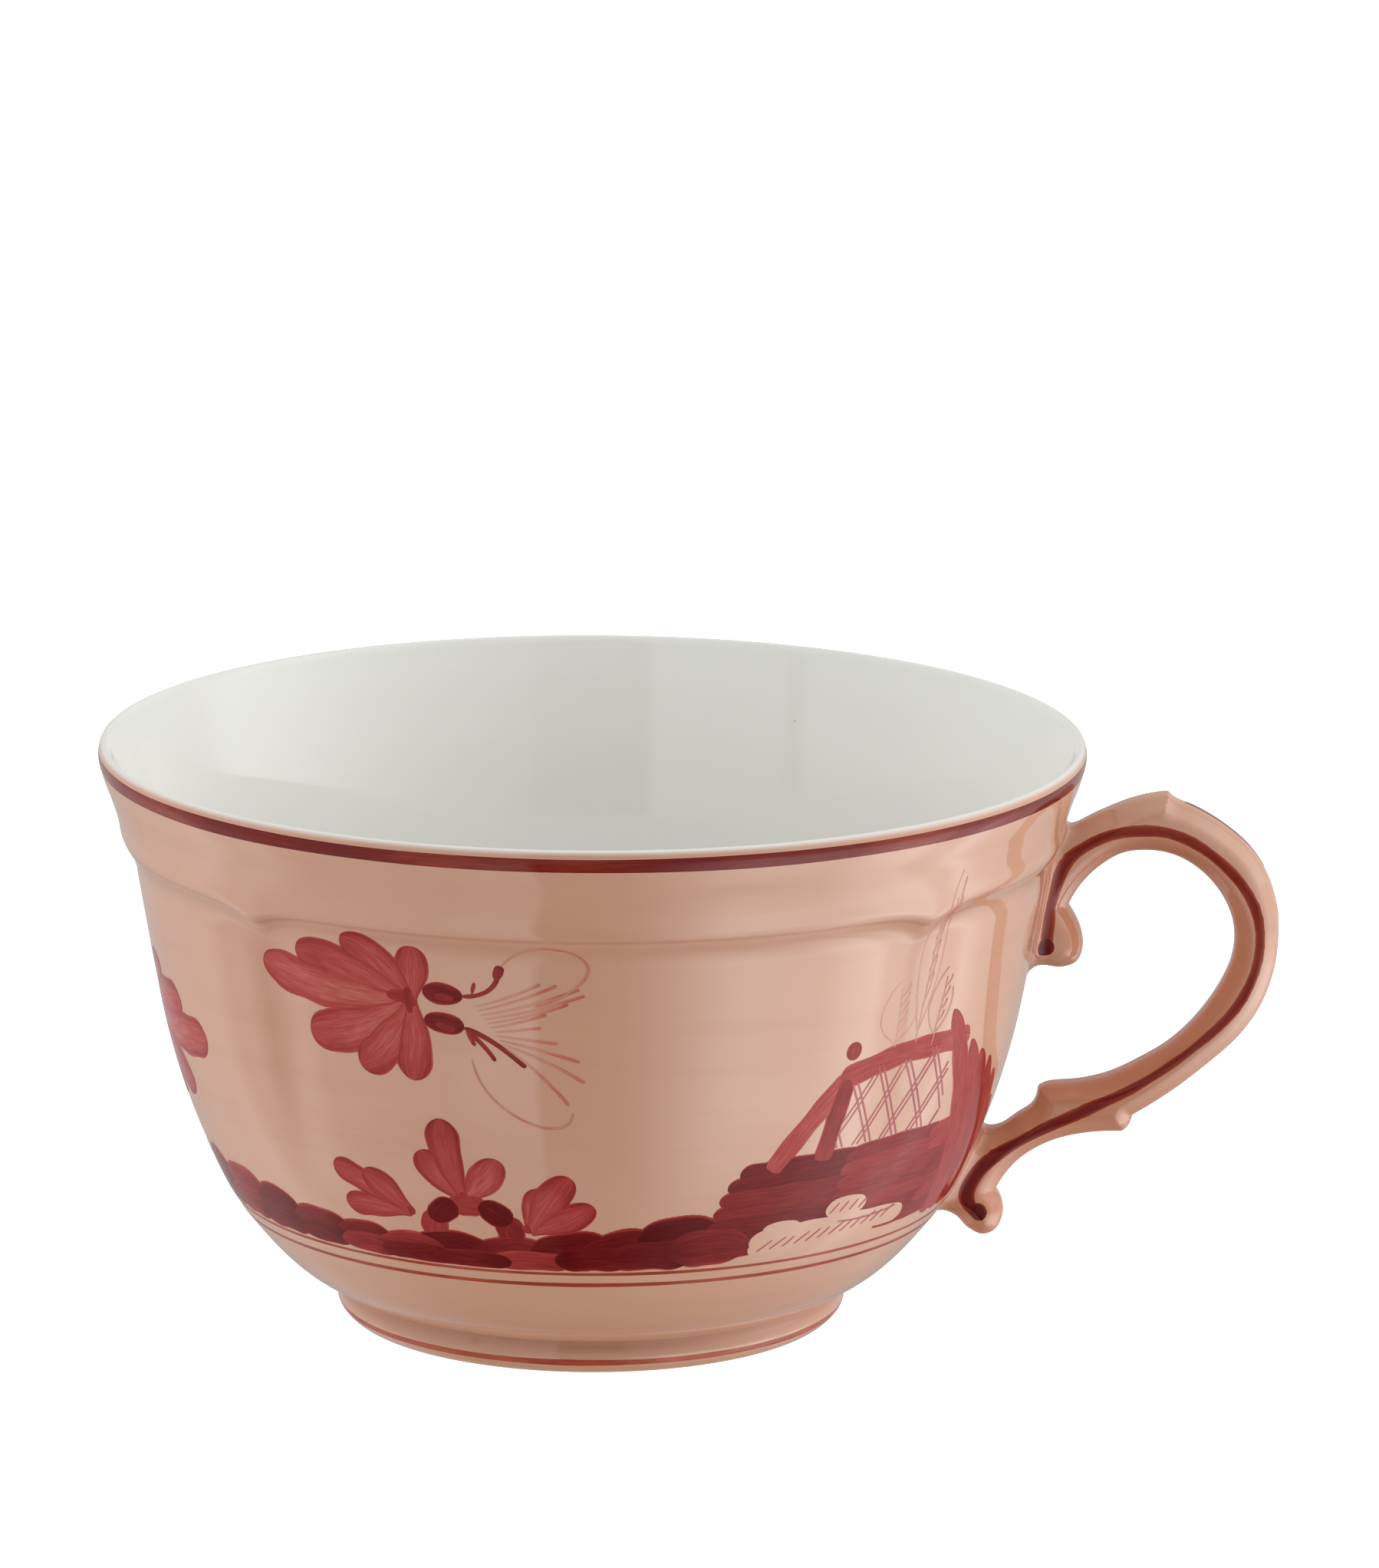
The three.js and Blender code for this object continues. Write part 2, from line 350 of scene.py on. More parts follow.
def on_wall(angle, length, lift):
    """Points and normals on the outside wall: angle about the axis, distance up the wall, lift in mm."""
    angle, length = np.broadcast_arrays(np.asarray(angle, float), np.asarray(length, float))

    def surface(a, s):
        radius = np.interp(s, WALL_LENGTH, WALL_ROWS[:, 0])
        height = np.interp(s, WALL_LENGTH, WALL_ROWS[:, 1])
        return to_space(a, *moulded(a, radius, height))

    across = surface(angle + 0.01, length) - surface(angle - 0.01, length)
    up = surface(angle, length + 0.35) - surface(angle, length - 0.35)
    return lifted(surface(angle, length), np.cross(across, up), lift)


def make_object(name, points, faces, material, attributes, normals=None):
    """A smooth-shaded mesh object from points in metres, with values on its points."""
    mesh = bpy.data.meshes.new(name)
    mesh.from_pydata(np.asarray(points).tolist(), [], [[int(i) for i in face] for face in faces])
    mesh.materials.append(material)
    for key, values in attributes.items():
        values = np.asarray(values, np.float32)
        kind, field = ("FLOAT", "value") if values.ndim == 1 else ("FLOAT_VECTOR", "vector")
        mesh.attributes.new(key, kind, "POINT").data.foreach_set(field, values.ravel())
    mesh.polygons.foreach_set("use_smooth", np.ones(len(mesh.polygons), bool))
    mesh.validate()
    if normals is not None:
        mesh.normals_split_custom_set_from_vertices(np.asarray(normals).tolist())
    return add_object(name, mesh)


def lathe_faces(rows, segments, closed=False):
    """Quads between rings of `segments` points, and from the last ring to the first if `closed`."""
    ring = np.arange(segments)
    following = (ring + 1) % segments
    quads = []
    for row in range(rows if closed else rows - 1):
        a, b = row * segments, (row + 1) % rows * segments
        quads.append(np.stack([a + ring, a + following, b + following, b + ring], -1))
    return np.vstack(quads)


def valley_shade(angle, height):
    """How much painted shade darkens the valleys between the lobes, from 0 to 1."""
    below = smoothstep(height, 16, 34) * (1 - smoothstep(height, LEDGE - 2.5, LEDGE - 0.5))
    return below * np.exp(-((from_valley(angle) / VALLEY_SHADE_WIDTH) ** 2))


def make_bowl(material, segments=360):
    """The underside, the outside wall, the lip and the inside down to the floor, in that order."""
    angle = np.arange(segments) / segments * 2 * math.pi
    under = [(CAP_RADIUS, 4.25), (12, 4.2), (20.6, 3.9), (FOOT_RADIUS - 3.9, FOOT_TOP - 0.1)]
    inner = spline(INNER_WALL, 0.8)[1:-1]
    rings = [to_space(angle, radius, height) for radius, height in under]
    rings += [to_space(angle, *moulded(angle, radius, height)) for radius, height in WALL_ROWS]
    rings += [to_space(angle, radius, height) for radius, height in inner]
    rings.append(to_space(angle, CAP_RADIUS, INNER_WALL[-1][1]))
    faces = list(lathe_faces(len(rings), segments))
    faces.append(list(range(segments))[::-1])
    faces.append(list(range((len(rings) - 1) * segments, len(rings) * segments)))
    inside = np.append(lengths_along(inner), FLOOR) + 0.4
    past_lip = np.concatenate([UNDERSIDE, WALL_LENGTH - WALL_LENGTH[-1], inside])
    plain = np.zeros(segments)
    # Painted shade in the valleys, on the outside wall only.
    painted_shade = [plain] * len(under)
    painted_shade += [valley_shade(angle, height) for height in WALL_ROWS[:, 1]]
    painted_shade += [plain] * (len(rings) - len(painted_shade))
    attributes = {"past_lip": np.repeat(past_lip, segments), "painted_shade": np.concatenate(painted_shade)}
    return make_object("bowl_porcelain", np.vstack(rings), faces, material, attributes)


FOOT_INNER = FOOT_RADIUS - 3.4
FOOT_PROFILE = [
    (FOOT_INNER + 0.7, 0.02), (FOOT_RADIUS - 2.1, 0.0), (FOOT_RADIUS - 1.5, 0.14),
    (FOOT_RADIUS - 0.9, 0.5), (FOOT_RADIUS - 0.35, 1.1), (FOOT_RADIUS, 1.9), (FOOT_RADIUS - 0.08, 2.6),
    (FOOT_RADIUS - 0.3, 3.2), (FOOT_RADIUS - 0.45, FOOT_TOP + 0.15),
    (FOOT_INNER - 0.6, FOOT_TOP + 0.15), (FOOT_INNER - 0.45, 2.6), (FOOT_INNER - 0.1, 1.1),
    (FOOT_INNER + 0.25, 0.35), (FOOT_INNER + 0.7, 0.02),
]
FOOT_ROWS = spline(FOOT_PROFILE, 0.25)[:-1]


def make_foot(material, segments=240):
    """The ring the cup stands on, turned from its closed section."""
    angle = np.arange(segments) / segments * 2 * math.pi
    rings = [to_space(angle, radius, height) for radius, height in FOOT_ROWS]
    faces = lathe_faces(len(rings), segments, closed=True)
    height = np.repeat(FOOT_ROWS[:, 1], segments)
    return make_object("foot_porcelain", np.vstack(rings), faces, material, {"height": height})


# ---- the handle

# Half the width of the bar's flat edge, the run of its bevels, how far its arrises and the fillets
# on the wall are rounded, and how deep under the wall's surface the fillets end.
EDGE_HALF = 1.3
BEVEL = 1.55
ARRIS = 0.55
FILLET = 1.7
SKIN = 0.03
LOOP_CENTRE = (56, 37)
LONGEST_STEP = 0.15

# Side outline of the handle in mm from the cup's axis, as smooth stretches that meet at corners.
HANDLE_OUTLINE = [
    [(43, 47.2), (47.3, 49.6), (50.7, 51.4), (54, 52.7), (57.2, 53.3)],
    [(57.2, 53.3), (58, 52.6), (59.9, 51.8), (62.6, 50.2), (65.4, 47.8), (67.2, 45), (68.3, 41.4)],
    [
        (68.3, 41.4), (68.4, 38.7), (68, 35.3), (66.7, 31.6), (64.5, 28.4), (60.9, 25.1), (57.7, 22.6),
        (54.1, 20.3),
    ],
    [(54.1, 20.3), (53.7, 19.2), (53, 18.6)],
    [(53, 18.6), (49.2, 18.4), (46, 17.6), (43.3, 16.1), (41.7, 14.5), (40.5, 12.6)],
    [(40.5, 12.6), (41.3, 10.6), (40.6, 8.5), (39.2, 7.9), (37.7, 8.6), (36.4, 9.9), (34, 10.7)],
    [(34, 10.7), (30, 10.7), (33, 18.7), (37.5, 18.7)],
    [(37.5, 18.7), (39.5, 18.8), (41, 19.1), (42.6, 20.2), (44.1, 21.3), (44.6, 22.9)],
    [(44.6, 22.9), (45.5, 23.4), (49.1, 23.8), (51.8, 24.5), (54.7, 25.9), (57.6, 27.7), (60.2, 30.2)],
    [(60.2, 30.2), (62.4, 33.3), (63.7, 36.2), (64, 38.9), (63.4, 41.5), (61.9, 44), (59.9, 45.9)],
    [(59.9, 45.9), (57.6, 47.1), (55.2, 47.5), (52.7, 47.2), (50.5, 45.9), (48.7, 44.1), (47.4, 41.9)],
    [(47.4, 41.9), (48.7, 39.4), (48.9, 37.6), (48.3, 36.1), (46.7, 35.5), (45, 35.7), (42, 35.7)],
    [(42, 35.7), (40, 39.7), (40, 43.7), (43, 47.2)],
]


def outline_distance(x, z, outline):
    """Signed distance in the X-Z plane from a closed outline, negative inside, and its slope."""
    best = np.full(x.shape, np.inf)
    toward_x, toward_z, out_x, out_z = (np.zeros(x.shape) for _ in range(4))
    inside = np.zeros(x.shape, bool)
    for (ax, az), (bx, bz) in zip(outline, np.roll(outline, -1, axis=0)):
        ex, ez = bx - ax, bz - az
        length2 = ex * ex + ez * ez
        if length2 < 1e-12:
            continue
        t = np.clip(((x - ax) * ex + (z - az) * ez) / length2, 0, 1)
        dx, dz = x - ax - t * ex, z - az - t * ez
        length, distance2 = math.sqrt(length2), dx * dx + dz * dz
        found = (dx, dz, -ez / length, ex / length, distance2)
        closer = distance2 < best
        for kept, new in zip((toward_x, toward_z, out_x, out_z, best), found):
            np.copyto(kept, new, where=closer)
        if bz != az:
            inside ^= ((az > z) != (bz > z)) & (x < ax + (z - az) * ex / ez)
    distance = np.sqrt(best)
    sign = np.where(inside, -1, 1)
    scale = sign / np.maximum(distance, 1e-6)
    touching = distance < 1e-3
    slope_x = np.where(touching, out_x, toward_x * scale)
    slope_z = np.where(touching, out_z, toward_z * scale)
    return sign * distance, slope_x, slope_z


def smooth_max(a, b, reach):
    """The larger value, rounded off where the two are within `reach` of each other."""
    blend = np.maximum(reach - np.abs(a - b), 0)
    return np.maximum(a, b) + blend * blend / (4 * reach)


def smooth_min(a, b, reach):
    return -smooth_max(-a, -b, reach)


def handle_field(points, edge):
    """Negative inside the handle and the fillets on the wall, from points and their outline distance."""
    x, y, z = points[..., 0], np.abs(points[..., 1]), points[..., 2]
    slant = math.hypot(HANDLE_HALF - EDGE_HALF, BEVEL)
    bevel = (edge * (HANDLE_HALF - EDGE_HALF) + (y - EDGE_HALF) * BEVEL) / slant
    bar = smooth_max(smooth_max(edge, y - HANDLE_HALF + 0.05, ARRIS), bevel, ARRIS)
    lean = (wall_radius(z + 0.3) - wall_radius(z - 0.3)) / 0.6
    gap = (np.hypot(x, y) - wall_radius(z)) / np.sqrt(1 + lean * lean)
    return np.maximum(smooth_min(bar, gap + SKIN, FILLET), -(gap + 0.8))


def surface_net(grid, value):
    """Turns the zero level of a sampled field into quads, with one point per crossed cell."""
    inside = value < 0
    shape = tuple(n - 1 for n in inside.shape)
    total, count = np.zeros(shape + (3,)), np.zeros(shape)

    def corner(offset):
        return tuple(slice(o, o + n) for o, n in zip(offset, shape))

    for axis in range(3):
        for first in range(2):
            for second in range(2):
                a = corner(np.insert([first, second], axis, 0))
                b = corner(np.insert([first, second], axis, 1))
                crossed = inside[a] != inside[b]
                t = np.where(crossed, value[a] / np.where(crossed, value[a] - value[b], 1), 0)
                where = grid[a] + (grid[b] - grid[a]) * t[..., None]
                total += np.where(crossed[..., None], where, 0)
                count += crossed
    active = count > 0
    number = np.full(shape, -1)
    number[active] = np.arange(active.sum())
    points = total[active] / count[active][:, None]
    quads = []
    for axis in range(3):
        u, v = [i for i in range(3) if i != axis]
        near = [slice(1, -1)] * 3
        near[axis] = slice(0, -1)
        far = list(near)
        far[axis] = slice(1, None)
        a, b = inside[tuple(near)], inside[tuple(far)]
        for entering in (True, False):
            cells = np.argwhere((a != b) & (b if entering else a))
            cells[:, [u, v]] += 1
            around = []
            for du, dv in ((0, 0), (1, 0), (1, 1), (0, 1)):
                neighbour = cells.copy()
                neighbour[:, u] -= du
                neighbour[:, v] -= dv
                around.append(number[tuple(neighbour.T)])
            quad = np.stack(around, -1)
            quads.append(quad if entering == (axis == 1) else quad[:, ::-1])
    return points, np.vstack(quads)


def onto_handle(points, outline, rounds=3):
    """Moves points near the handle onto its surface and returns them with their normals."""
    tiny = 0.02
    for turn in range(rounds + 1):
        edge, edge_x, edge_z = outline_distance(points[:, 0], points[:, 2], outline)
        gradient = np.zeros_like(points)
        for axis, change in enumerate((edge_x * tiny, 0, edge_z * tiny)):
            offset = np.eye(3)[axis] * tiny
            ahead = handle_field(points + offset, edge + change)
            back = handle_field(points - offset, edge - change)
            gradient[:, axis] = (ahead - back) / (2 * tiny)
        size = np.maximum(np.linalg.norm(gradient, axis=1), 0.3)[:, None]
        if turn < rounds:
            step = np.clip(handle_field(points, edge)[:, None] / size, -LONGEST_STEP, LONGEST_STEP)
            points = points - step * gradient / size
    return points, gradient / size


def handle_mesh_outline():
    """The handle's side outline as one closed line of close points."""
    return np.vstack([spline(stretch, 0.35)[:-1] for stretch in HANDLE_OUTLINE])


def make_handle(material, outline):
    """The scroll bar and its fillets, with painted shade on the inner side of the loop and low down."""
    step = 0.26
    half = HANDLE_HALF + 2.4
    spans = ((30, 69.2), (-half, half), (6.5, 55))
    axes = [np.arange(start, stop + step, step) for start, stop in spans]
    grid = np.stack(np.meshgrid(*axes, indexing="ij"), -1)
    edge = outline_distance(grid[:, 0, :, 0], grid[:, 0, :, 2], outline)[0]
    points, quads = surface_net(grid, handle_field(grid, edge[:, None, :]))
    points, normals = onto_handle(points, outline)
    # Painted shade: the inner side of the loop and the lower part of the handle are darkened in colour.
    away = points[:, [0, 2]] - np.array(LOOP_CENTRE)
    away /= np.linalg.norm(away, axis=1, keepdims=True)
    inner = smoothstep(-(normals[:, 0] * away[:, 0] + normals[:, 2] * away[:, 1]), 0, 0.5)
    painted_shade = np.maximum(0.6 * inner, 0.65 - 0.65 * smoothstep(points[:, 2], 16, 32))
    place = points * MM + np.array(AXIS)
    return make_object("handle_porcelain", place, quads, material, {"painted_shade": painted_shade}, normals)


# ---- enamel painting

# Across a stroke runs from -1 to 1, and past OUTERMOST are its two sunken sides. Heights are in mm.
OUTERMOST = 0.99
THICKNESS = 0.026
OVERLAP = 0.0022
SUNK_SIDE = -0.006
SUNK_END = -0.012


class Coat:
    """Brush strokes laid one over another on any surface and joined into a single mesh."""

    def __init__(self, name, seed):
        self.name = name
        self.random = random.Random(seed)
        self.points, self.normals, self.faces, self.tone, self.grain = [], [], [], [], []
        self.count = self.level = 0

    def stroke(self, place, spine, width, tone=0.5, ends=None, shade=0.0, tip=0.0, columns=7, swell=None):
        """A brush stroke along a smooth spine. `ends` are the lengths over which its ends round off,
        `shade` darkens its edges, `tip` darkens its far end and `swell` shapes its width."""
        line = spline(spine, 0.1) if len(spine) > 2 else np.linspace(spine[0], spine[1], 12)
        travelled = lengths_along(line)
        total = travelled[-1]
        rows = int(min(90, max(10, total / 0.3)))
        t = 0.5 - 0.5 * np.cos(np.linspace(0, math.pi, rows))
        x, y = (np.interp(t * total, travelled, line[:, i]) for i in (0, 1))
        dx, dy = np.gradient(x, t), np.gradient(y, t)
        size = np.maximum(np.hypot(dx, dy), 1e-9)
        ends = ends or (width / 2, width / 2)
        cap = np.ones(rows)
        for distance, reach in ((t * total, ends[0]), ((1 - t) * total, ends[1])):
            cap *= np.sqrt(np.clip(1 - (1 - np.clip(distance / max(reach, 1e-3), 0, 1)) ** 2, 0, 1))
        wobble = 1 + 0.05 * np.sin(t * total * 1.3 + self.random.uniform(0, 6))
        half = width / 2 * cap * wobble * (swell(t) if swell else 1)
        across = np.linspace(-1, 1, columns)[None, :].repeat(rows, 0)
        u = x[:, None] - (dy / size * half)[:, None] * across
        v = y[:, None] + (dx / size * half)[:, None] * across
        along = (t * total)[:, None].repeat(columns, 1)
        shading = tone - shade * np.abs(across) ** 3 - tip * smoothstep(t, 0.55, 1)[:, None]
        if width > 1.2:
            shading = np.where(np.abs(across) > OUTERMOST, np.maximum(shading, 0.8), shading)
        flow = across * max(width, 0.6) * 0.9
        self.lay(place, u, v, across, along, flow, shading)

    def begin(self, level=0):
        """Starts a motif `level` strokes above the glaze, so that its strokes lie over what is there."""
        self.level = level
        return self

    def lay(self, place, u, v, across, along, flow, tone):
        """Adds one stroke as a grid; u and v lie on the surface and `across` runs from -1 to 1."""
        lift = np.where(np.abs(across) > OUTERMOST, SUNK_SIDE, THICKNESS + OVERLAP * self.level)
        lift[[0, -1]] = SUNK_END
        points, normals = place(u, v, lift)
        index = np.arange(u.size).reshape(u.shape) + self.count
        quads = np.stack([index[:-1, :-1], index[1:, :-1], index[1:, 1:], index[:-1, 1:]], -1)
        facing = np.cross(points[1:, :-1] - points[:-1, :-1], points[:-1, 1:] - points[:-1, :-1])
        if (facing * normals[:-1, :-1]).sum() < 0:
            quads = quads[..., ::-1]
        self.points.append(points.reshape(-1, 3))
        self.normals.append(normals.reshape(-1, 3))
        self.faces.append(quads.reshape(-1, 4))
        self.tone.append(np.broadcast_to(tone, u.shape).ravel())
        number = np.full(u.shape, len(self.faces) * 3.7)
        self.grain.append(np.stack([along * 0.2, flow, number], -1).reshape(-1, 3))
        self.count += u.size
        self.level += 1

    def ring(self, surface, height, width, tone, wobble):
        """A line painted right round the cup as it turned."""
        rows, columns = 361, 7
        angle = np.linspace(0, 2 * math.pi, rows)[:, None].repeat(columns, 1)
        across = np.linspace(-1, 1, columns)[None, :].repeat(rows, 0)
        phase = self.random.uniform(0, 6)
        wave = np.sin(angle * 5 + phase) + np.sin(angle * 11 + 2 * phase)
        level = height + across * (width / 2 * (1 + wobble * wave))
        waver = 0.06 * np.sin(angle * 7 + phase) + 0.04 * np.sin(angle * 19) - 0.05 * np.abs(across) ** 3
        lift = np.where(np.abs(across) > OUTERMOST, SUNK_END, 0.03)

        def place(u, v, _):
            return surface(u, v, lift)

        self.lay(place, angle, level, across, angle * 40, across * width, tone + waver)

    def finish(self, material):
        """Joins all the strokes into one mesh."""
        points, faces, normals = (np.vstack(part) for part in (self.points, self.faces, self.normals))
        attributes = {"tone": np.concatenate(self.tone), "grain": np.vstack(self.grain)}
        return make_object(self.name, points, faces, material, attributes, normals)


def patch(theta, height, tilt=0.0, scale=1.0):
    """A drawing area on the wall: mm right and up from a point `theta` degrees round from the front."""
    start = wall_length(height)
    radius = wall_radius(height)
    c, s = math.cos(math.radians(tilt)) * scale, math.sin(math.radians(tilt)) * scale

    def place(u, v, lift):
        return on_wall(math.radians(theta - 90) + (u * c - v * s) / radius, start + u * s + v * c, lift)

    return place


def foot_ring(angle, height, lift):
    """Points and normals on the outside of the foot."""
    outside = FOOT_ROWS[(FOOT_ROWS[:, 0] > FOOT_RADIUS - 1.6) & (FOOT_ROWS[:, 1] < 3.3)]

    def radius(z):
        return np.interp(z, outside[:, 1], outside[:, 0])

    lean = (radius(height + 0.15) - radius(height - 0.15)) / 0.3
    normal = np.stack([np.cos(angle), np.sin(angle), -lean], -1)
    return lifted(to_space(angle, radius(height), height), normal, lift)


def settle(start, lift, outline):
    """Drops points near the handle onto it and lifts them off by `lift`."""
    points, normals = onto_handle(start.reshape(-1, 3), outline)
    points = points + normals * lift.reshape(-1, 1)
    return (points * MM + np.array(AXIS)).reshape(start.shape), normals.reshape(start.shape)


def on_handle(side, outline):
    """A drawing area on one side of the handle, in mm from the cup's axis and the table."""

    def place(u, v, lift):
        start = np.stack([u, np.full(u.shape, side * HANDLE_HALF), v], -1)
        return settle(start, lift, outline)

    return place


def on_crest(stretch, outline):
    """A drawing area on the handle's outer edge: mm along one stretch of it, and mm sideways."""
    line = spline(stretch, 0.3)
    travelled = lengths_along(line)

    def place(u, v, lift):
        x, z = (np.interp(u, travelled, line[:, i]) for i in (0, 1))
        return settle(np.stack([x, v, z], -1), lift, outline)

    return place


def polar(angle, length):
    return length * math.cos(math.radians(angle)), length * math.sin(math.radians(angle))


def petal(coat, place, angle, length, width, tone, bend):
    """A loaded-brush petal: narrow at the heart, full and darker at its round tip."""
    ax, ay = polar(angle, length)
    spine = [(0, 0), (ax * 0.55 - ay * bend, ay * 0.55 + ax * bend), (ax, ay)]

    def swell(t):
        return 0.36 + 0.64 * smoothstep(t, 0, 0.6)

    coat.stroke(place, spine, width, tone, (0.3, width * 0.62), 0.32, 0.1, 13, swell)


def flipped(spine, flip):
    """The spine as it is, or mirrored left to right where `flip` is -1."""
    return [(x * flip, y) for x, y in spine]


# Each petal's angle, length, width and bend.
PETALS = [
    (86, 5.8, 3.9, 0.0), (142, 9.2, 4.2, -0.08), (165, 13.6, 4.2, -0.05), (175, 18.2, 4.4, 0.04),
    (201, 13.2, 4.8, 0.08), (230, 9.8, 4.4, 0.08), (266, 8.4, 4.0, 0.04),
]


def blossom(coat, fine, place, flip=1):
    """A fan of seven petals with two seed heads and a spray of stamens on the other side."""
    coat.begin()
    for angle, reach, width, bend in PETALS:
        turn = angle if flip > 0 else 180 - angle
        tone = 0.79 + coat.random.uniform(-0.04, 0.04)
        petal(coat, place, turn, reach, width, tone, bend * flip)
    heart = flipped([(-2.6, 0.3), (-0.6, 0.2), (0.4, -0.6)], flip)
    coat.stroke(place, heart, 1.7, 0.52, (1.4, 0.7), -0.1)
    heart = flipped([(-0.3, 1.4), (-0.4, 0.2), (-0.1, -1.4)], flip)
    coat.stroke(place, heart, 1.1, 0.5, (0.9, 0.9), -0.1)
    for level, slant in ((1.1, -0.25), (-1.85, -0.5)):
        seed = [(1.2, level), (3.2, level + slant * 0.4), (5.3, level + slant)]
        coat.stroke(place, flipped(seed, flip), 2.4, 0.32, (2, 2), -0.12, 0.1, 9)
        glint = [(2.4, level - 0.32), (3.3, level - 0.36 + slant * 0.5), (4.4, level - 0.3 + slant)]
        coat.stroke(place, flipped(glint, flip), 0.95, 0.5, (0.7, 0.7), -0.16)
    stalks = [
        ([(5.2, 0.9), (7, 1.2), (8.2, 2), (8.9, 3.4)], 0.5, 0.56),
        ([(8.6, 2.8), (9.1, 4.3)], 1.0, 0.5),
        ([(6.2, 1.2), (6.5, 2.4)], 0.42, 0.6),
        ([(5.2, -2.4), (7.6, -3.4), (11.3, -6.2)], 0.56, 0.5),
        ([(5.6, -2.7), (7.2, -4.2), (8.3, -5.7)], 0.5, 0.54),
        ([(5.5, -2.7), (6.3, -4.2)], 0.5, 0.56),
    ]
    for spine, width, tone in stalks:
        coat.stroke(place, flipped(spine, flip), width, tone, (0.8, 0.35), 0, 0.1, 5)
    for number in range(11):
        ex, ey = 15 + 2.2 * math.sin(1.05 * number - 1.3), 2.6 - 0.127 * number * number
        sx, sy = 6.4 + 0.3 * number, -0.1 - 0.42 * number
        spine = [(sx, sy), (sx + (ex - sx) * 0.5, sy + (ey - sy) * 0.42), (ex, ey)]
        fine.stroke(place, flipped(spine, flip), 0.38, 1.0, (7, 0.3), 0, 0.1, 5)
    for spine in (
        [(9.2, 4.3), (11.1, 5.9), (13.6, 6.5), (16, 5.9), (17.4, 4.3), (16.6, 2.6), (12.3, 0.2)],
        [(5.9, -5.6), (7.3, -9), (10.4, -11.6), (13.4, -12.6), (15.3, -12.2), (15.9, -10.9)],
    ):
        fine.stroke(place, flipped(spine, flip), 0.3, 0.96, (3, 2.5), 0, 0, 5)


def sprig(coat, place, leaves):
    """Leaves that fan from one point, each a single full stroke with a darker tip."""
    coat.begin()
    for angle, length, width in leaves:
        tone = 0.76 + coat.random.uniform(-0.04, 0.04)
        petal(coat, place, angle, length, width, tone, coat.random.uniform(-0.06, 0.06))
    coat.stroke(place, [(-0.3, 0.9), (0, -0.2)], 1.0, 0.55, (0.6, 0.5), -0.1)


def mound(coat, theta, width, height, tone):
    """One comma of the ground: a thick stroke with a round head whose foot rests on the upper line."""
    place = patch(theta, LINE_HEIGHTS[1] + 0.3)
    rise = height / 2
    side = coat.random.choice((-1, 1))
    spine = [(-width / 2 * side, rise * 0.8), (0, rise * 1.04), (width / 2 * side, rise * 0.8)]
    coat.stroke(place, spine, height, tone, (height * 0.9, height * 0.7), -0.12, 0.14, 13)


def ground(coat, start, stop):
    """Overlapping commas along the base of the painting, in two layers."""
    for layer in range(2):
        theta, number = start + 4 * layer, 0
        while theta < stop:
            coat.begin(8 + 9 * layer + number % 9)
            height = ground_top(theta) * coat.random.uniform(0.95, 1.15) * (1 if layer == 0 else 0.6)
            width = coat.random.uniform(6.4, 9)
            tone = coat.random.uniform(0.16, 0.5) - 0.2 * smoothstep(theta, -10, 4) + 0.06 * layer
            mound(coat, theta, width, height, tone)
            theta += coat.random.uniform(7, 10)
            number += 1


def arch(coat, place):
    """A low arch of round dabs, like a bridge under the middle sprig."""
    coat.begin()
    dabs = ((198, 0.62), (-16, 0.5), (166, 0.6), (12, 0.42), (92, 0.62), (132, 0.2), (52, 0.18))
    for angle, tone in dabs:
        x, y = polar(angle, 3.9)
        ax, ay = polar(angle - 90, 1.8)
        spine = [(x - ax, y * 0.84 - ay), (x, y * 0.9), (x + ax, y * 0.84 + ay)]
        coat.stroke(place, spine, 2.9, tone, (1.4, 1.4), 0.06, 0.04, 11)


def between_beams(x, y):
    """Whether a point of a cane shows between the trellis's beams."""
    return -0.4 < y < min(1.15 * (x + 6.4), 8.2 + 0.08 * x) and x < 14.6


def trellis(coat, fine, place):
    """A gate of thick beams filled with crossed pairs of thin canes."""
    canes = []
    for x in np.arange(-5.5, 17, 3.7):
        canes += [((x, -0.6), (x + 6.8, 9)), ((x + 6.4, -0.6), (x + 2.2, 9))]
    for (ax, ay), (bx, by) in canes:
        for shift in (-0.32, 0.32):
            points = [(ax + shift + (bx - ax) * k, ay + (by - ay) * k) for k in np.linspace(0, 1, 14)]
            kept = [point for point in points if between_beams(*point)]
            if len(kept) > 2:
                fine.stroke(place, kept, 0.27, 0.62, (0.2, 0.2), 0, 0, 5)
    coat.stroke(place, [(-7, -1.4), (-3.4, 3.6), (0.4, 7.9)], 2.4, 0.74, (0.4, 0.9), 0.04, 0, 9)
    coat.stroke(place, [(-0.6, 7.6), (8, 9.0), (17.2, 8.8)], 2.5, 0.66, (1.1, 0.8), 0.06, -0.06, 9)
    coat.stroke(place, [(0.3, 7.6), (-0.5, 4), (-1.3, -1)], 2.3, 0.5, (0.9, 0.3), 0.06, -0.1, 9)


def bank(coat, theta):
    """The ground mass under the trellis, in long level strokes."""
    place = patch(theta, 14.7)
    levels = [
        (10.3, -13.4, 19), (8.9, -14.4, 20), (7.4, -15, 21), (5.8, -15.4, 21.5), (4.2, -15.8, 22),
        (2.7, -16.5, 22), (1.2, -17, 21),
    ]
    for number, (y, left, right) in enumerate(levels):
        for part in range(3):
            a = left + (right - left) * part / 3 - 0.9
            b = left + (right - left) * (part + 1) / 3 + 0.9
            tone = coat.random.uniform(0.42, 0.62)
            if part == 0:
                tone -= 0.24 if number < 2 else 0.14
            spine = [(a, y + 0.02 * a), ((a + b) / 2, y + 0.3 + 0.01 * (a + b)), (b, y + 0.02 * b)]
            coat.stroke(place, spine, 2.4, tone, (1.3, 1.1), 0.0, 0.04, 9)


